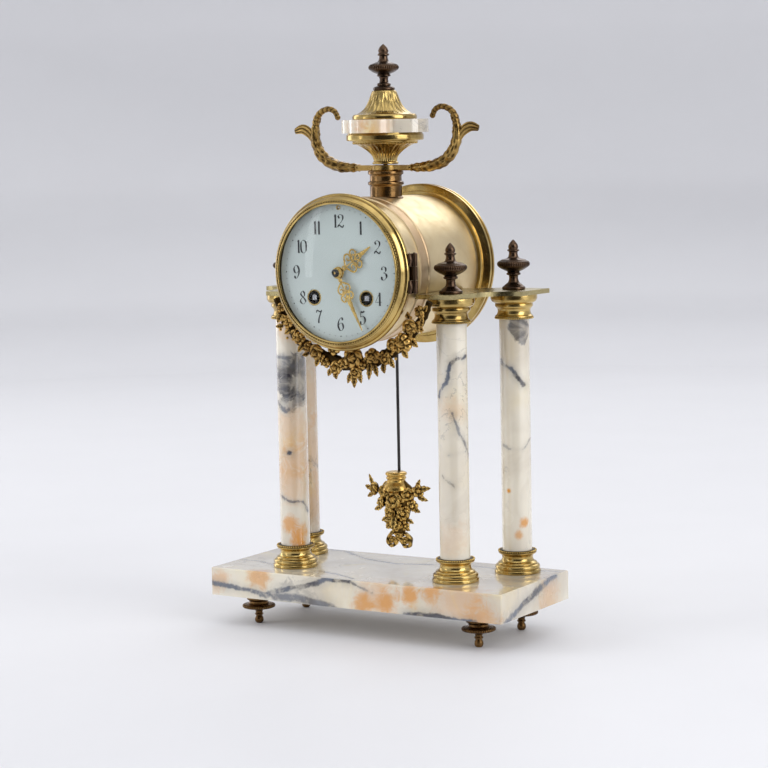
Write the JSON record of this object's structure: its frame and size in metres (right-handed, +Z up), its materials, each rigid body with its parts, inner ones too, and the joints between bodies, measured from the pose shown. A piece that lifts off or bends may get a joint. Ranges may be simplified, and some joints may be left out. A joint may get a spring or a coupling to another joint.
{
  "type": "mantel clock",
  "caption": "Portico mantel clock: marble base and columns carry a brass drum with enamel dial, hinged bezel, swinging pendulum and an urn on top.",
  "frame": {"origin": "on the ground, under the middle of the clock's box", "axes": "+Z up, +X to the clock's left as it faces you (the viewer's right), +Y to the back; the dial faces -Y"},
  "size_m": [0.22, 0.122, 0.381],
  "materials": {
    "marble": "polished veined marble",
    "gilt_brass": "polished lacquered brass",
    "cast_brass": "cast and chased gilt brass",
    "bronze": "dark bronzed brass",
    "copper_brass": "warm coppery brass",
    "enamel": "white glazed enamel",
    "glass": "clear domed glass",
    "movement_brass": "grained brass",
    "blued_steel": "dark blued steel",
    "steel": "polished steel",
    "bell_metal": "nickelled bell metal"
  },
  "bodies": {
    "case": {"base_slab": "marble", "urn_marble_disc": "marble", "column_shaft_front_left": "marble", "foot_front_left": "bronze", "column_shaft_front_right": "marble", "foot_front_right": "bronze", "column_shaft_back_left": "marble", "foot_back_left": "bronze", "column_shaft_back_right": "marble", "foot_back_right": "bronze", "column_bases": "gilt_brass", "column_capitals": "gilt_brass", "side_plate_left": "gilt_brass", "side_plate_right": "gilt_brass", "drum_case": "gilt_brass", "rear_ring": "gilt_brass", "urn_lid": "gilt_brass", "garland": "cast_brass", "urn_handles": "cast_brass", "urn_bowl": "cast_brass", "column_finials": "bronze", "urn_finial": "bronze", "neck_collar": "copper_brass", "dial": "enamel", "dial_pan": "movement_brass", "front_plate": "movement_brass", "back_plate": "movement_brass", "plate_pillars": "movement_brass", "case_straps": "movement_brass", "suspension_cock": "movement_brass", "bell_stand": "movement_brass", "tie_rods": "steel", "hinge_pins": "steel", "urn_rod": "steel", "bell": "bell_metal"},
    "bezel": {"bezel": "gilt_brass", "bezel_glass": "glass"},
    "rear_door": {"rear_door": "gilt_brass", "rear_door_knob": "gilt_brass"},
    "minute_arbor": {"cannon_pinion": "steel", "minute_hand": "cast_brass"},
    "centre_arbor": {"centre_wheel": "movement_brass"},
    "hour_pipe": {"hour_wheel": "movement_brass", "hour_hand": "cast_brass"},
    "minute_wheel": {"minute_wheel": "movement_brass"},
    "intermediate_wheel": {"intermediate_wheel": "movement_brass"},
    "going_barrel": {"going_barrel": "movement_brass", "going_mainspring": "blued_steel"},
    "third_wheel": {"third_wheel": "movement_brass"},
    "escape_wheel": {"escape_wheel": "movement_brass"},
    "pallets": {"pallet_anchor": "blued_steel"},
    "pendulum": {"pendulum_rod": "blued_steel", "pendulum_bob": "cast_brass"},
    "going_winding_arbor": {"going_winding_arbor": "steel"},
    "strike_winding_arbor": {"strike_winding_arbor": "steel"},
    "strike_barrel": {"strike_barrel": "movement_brass", "strike_mainspring": "blued_steel"},
    "pin_wheel": {"pin_wheel": "movement_brass"},
    "hammer": {"hammer": "steel"},
    "rating_arbor": {"rating_arbor": "steel"}
  },
  "joints": [
    {"name": "bezel_open", "type": "hinge", "parent": "case", "child": "bezel", "pos_m": [0.0514, -0.0446, 0.23675], "axis": [0, 0, 1], "range_deg": [0, 110]},
    {"name": "rear_door_open", "type": "hinge", "parent": "case", "child": "rear_door", "pos_m": [-0.0534, 0.0586, 0.23675], "axis": [0, 0, 1], "range_deg": [0, 110]},
    {"name": "minute_turn", "type": "hinge", "parent": "case", "child": "minute_arbor", "pos_m": [0, -0.048, 0.23675], "axis": [0, 1, 0], "continuous": true},
    {"name": "centre_turn", "type": "hinge", "parent": "case", "child": "centre_arbor", "pos_m": [0, -0.03, 0.23675], "axis": [0, 1, 0], "continuous": true},
    {"name": "hour_turn", "type": "hinge", "parent": "case", "child": "hour_pipe", "pos_m": [0, -0.043, 0.23675], "axis": [0, 1, 0], "continuous": true},
    {"name": "minute_wheel_turn", "type": "hinge", "parent": "case", "child": "minute_wheel", "pos_m": [0.0042, -0.041, 0.24402], "axis": [0, 1, 0], "continuous": true},
    {"name": "intermediate_turn", "type": "hinge", "parent": "case", "child": "intermediate_wheel", "pos_m": [0.01477, -0.016, 0.23998], "axis": [0, 1, 0], "continuous": true},
    {"name": "going_barrel_turn", "type": "hinge", "parent": "case", "child": "going_barrel", "pos_m": [0.0195, -0.016, 0.22075], "axis": [0, 1, 0], "continuous": true},
    {"name": "third_turn", "type": "hinge", "parent": "case", "child": "third_wheel", "pos_m": [-0.00802, -0.016, 0.24798], "axis": [0, 1, 0], "continuous": true},
    {"name": "escape_turn", "type": "hinge", "parent": "case", "child": "escape_wheel", "pos_m": [0, -0.013, 0.25675], "axis": [0, 1, 0], "continuous": true},
    {"name": "pendulum_swing", "type": "hinge", "parent": "case", "child": "pendulum", "pos_m": [0, 0.017, 0.26975], "axis": [0, 1, 0], "range_deg": [-4, 4]},
    {"name": "pallets_rock", "type": "hinge", "parent": "case", "child": "pallets", "pos_m": [0, -0.013, 0.26975], "axis": [0, 1, 0], "range_deg": [-4, 4]},
    {"name": "going_wind", "type": "hinge", "parent": "case", "child": "going_winding_arbor", "pos_m": [0.0195, -0.016, 0.22075], "axis": [0, 1, 0], "continuous": true},
    {"name": "strike_wind", "type": "hinge", "parent": "case", "child": "strike_winding_arbor", "pos_m": [-0.0195, -0.016, 0.22075], "axis": [0, 1, 0], "continuous": true},
    {"name": "strike_barrel_turn", "type": "hinge", "parent": "case", "child": "strike_barrel", "pos_m": [-0.0195, -0.016, 0.22075], "axis": [0, 1, 0], "continuous": true},
    {"name": "pin_wheel_turn", "type": "hinge", "parent": "case", "child": "pin_wheel", "pos_m": [-0.02294, -0.016, 0.24025], "axis": [0, 1, 0], "continuous": true},
    {"name": "hammer_lift", "type": "hinge", "parent": "case", "child": "hammer", "pos_m": [-0.035, 0, 0.24175], "axis": [0, 1, 0], "range_deg": [-10, 0]},
    {"name": "rating_turn", "type": "hinge", "parent": "case", "child": "rating_arbor", "pos_m": [0, -0.018, 0.27775], "axis": [0, 1, 0], "continuous": true}
  ],
  "couplings": [
    {"joint": "hour_turn", "follows": "minute_turn", "ratio": 0.083333},
    {"joint": "minute_wheel_turn", "follows": "minute_turn", "ratio": -0.33333},
    {"joint": "centre_turn", "follows": "minute_turn", "ratio": 1},
    {"joint": "third_turn", "follows": "minute_turn", "ratio": -10.5},
    {"joint": "escape_turn", "follows": "minute_turn", "ratio": 105},
    {"joint": "intermediate_turn", "follows": "minute_turn", "ratio": -0.16667},
    {"joint": "going_barrel_turn", "follows": "minute_turn", "ratio": 0.020833},
    {"joint": "pallets_rock", "follows": "pendulum_swing", "ratio": 1},
    {"joint": "pin_wheel_turn", "follows": "strike_barrel_turn", "ratio": -8}
  ]
}
